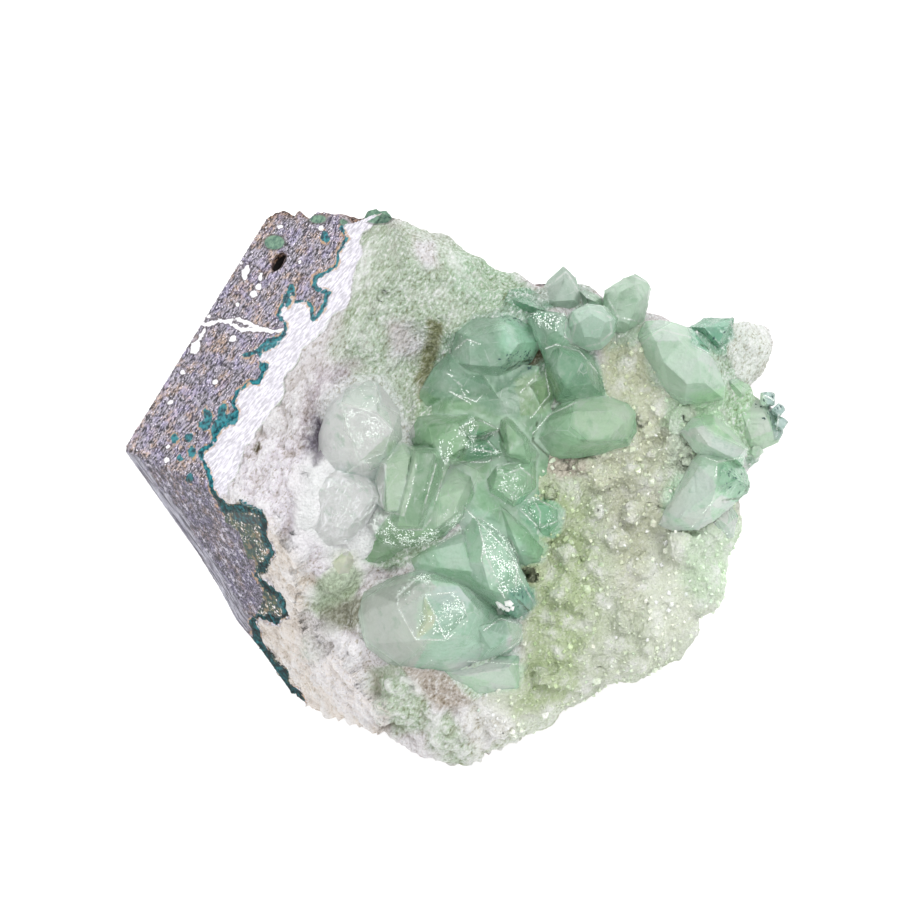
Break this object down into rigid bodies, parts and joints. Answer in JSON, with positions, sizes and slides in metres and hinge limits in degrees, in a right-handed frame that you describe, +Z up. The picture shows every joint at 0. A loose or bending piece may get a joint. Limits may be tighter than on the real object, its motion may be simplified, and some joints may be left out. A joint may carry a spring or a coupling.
{
  "type": "apophyllite on mordenite mineral specimen",
  "caption": "Mineral specimen lying on its flat underside: sawn grey basalt with a thin celadonite lining, a lumpy mordenite crust and clusters of pale green apophyllite crystals.",
  "frame": {"origin": "middle of the specimen's footprint box, on the flat underside", "axes": "+X along the longest side towards the thin right edge, +Y towards the upper end of the sawn corner, +Z up out of the crystals"},
  "size_m": [0.1104, 0.0918, 0.0363],
  "materials": {
    "basalt": "sawn, speckled dark grey",
    "celadonite": "dull teal",
    "mordenite": "velvety, white to pale green",
    "apophyllite": "translucent green, glassy to frosted"
  },
  "bodies": {
    "root": {"basalt_matrix": "basalt", "celadonite_seam": "celadonite", "mordenite_crust": "mordenite", "apophyllite_centre": "apophyllite", "apophyllite_dome": "apophyllite", "apophyllite_arrow": "apophyllite", "apophyllite_rim_plate": "apophyllite", "apophyllite_rim_low": "apophyllite"}
  },
  "joints": []
}
